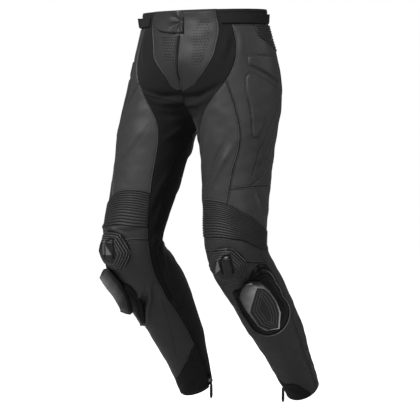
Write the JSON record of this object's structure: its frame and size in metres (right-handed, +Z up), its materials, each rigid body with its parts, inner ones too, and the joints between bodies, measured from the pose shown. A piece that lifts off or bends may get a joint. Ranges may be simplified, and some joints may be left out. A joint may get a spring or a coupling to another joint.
{
  "type": "motorcycle trousers",
  "caption": "Leather and stretch motorcycle trousers in a walking pose, hollow, with ribbed knees, knee cups, slider pucks and zipped hems.",
  "frame": {"origin": "centre of the waist opening, where the wearer holds the trousers up, level with its front edge", "axes": "+Z up out of the waist opening, -Y the front of the trousers, +X the wearer's left"},
  "size_m": [0.4439, 0.4757, 1.0048],
  "materials": {
    "leather": "semi-matt black grained leather",
    "stretch_fabric": "matt black stretch fabric",
    "webbing": "matt black webbing and zip tape",
    "moulded_plastic": "satin black moulded plastic",
    "slider_plastic": "satin dark grey plastic",
    "zip_metal": "dark plated metal"
  },
  "bodies": {
    "trousers": {"back_yoke_left": "leather", "back_yoke_right": "leather", "calf_inner_left": "stretch_fabric", "calf_inner_right": "stretch_fabric", "calf_outer_left": "leather", "calf_outer_right": "leather", "fly_zip": "webbing", "front_shield_left": "leather", "front_shield_right": "leather", "front_stretch_left": "stretch_fabric", "front_stretch_right": "stretch_fabric", "hem_gusset_left": "stretch_fabric", "hem_gusset_right": "stretch_fabric", "hem_zip_left": "webbing", "hem_zip_right": "webbing", "hip_side_left": "leather", "hip_side_right": "leather", "inner_leg_left": "stretch_fabric", "inner_leg_right": "stretch_fabric", "knee_band_left": "leather", "knee_band_right": "leather", "knee_cup_left": "moulded_plastic", "knee_cup_right": "moulded_plastic", "knee_ribs_left": "leather", "knee_ribs_right": "leather", "seat_left": "leather", "seat_right": "leather", "shin_front_left": "leather", "shin_front_right": "leather", "slider_base_left": "stretch_fabric", "slider_base_right": "stretch_fabric", "slider_puck_left": "slider_plastic", "slider_puck_right": "slider_plastic", "thigh_back_left": "stretch_fabric", "thigh_back_right": "stretch_fabric", "thigh_front_left": "leather", "thigh_front_right": "leather", "thigh_side_left": "leather", "thigh_side_right": "leather", "waist_strap_left": "webbing", "waist_strap_right": "webbing", "waist_tab": "leather", "waistband": "webbing", "zip_slider_left": "zip_metal", "zip_slider_right": "zip_metal"},
    "left_pull": {"zip_pull_left": "moulded_plastic"},
    "right_pull": {"zip_pull_right": "moulded_plastic"}
  },
  "joints": [
    {"name": "left_pull_hinge", "type": "hinge", "parent": "trousers", "child": "left_pull", "pos_m": [0.10103, 0.23296, -0.93928], "axis": [0.0852, 0.9964, 0], "range_deg": [-10, 150]},
    {"name": "right_pull_hinge", "type": "hinge", "parent": "trousers", "child": "right_pull", "pos_m": [-0.0497, 0.12148, -0.92656], "axis": [-0.0602, -0.9982, 0], "range_deg": [-10, 150]}
  ]
}
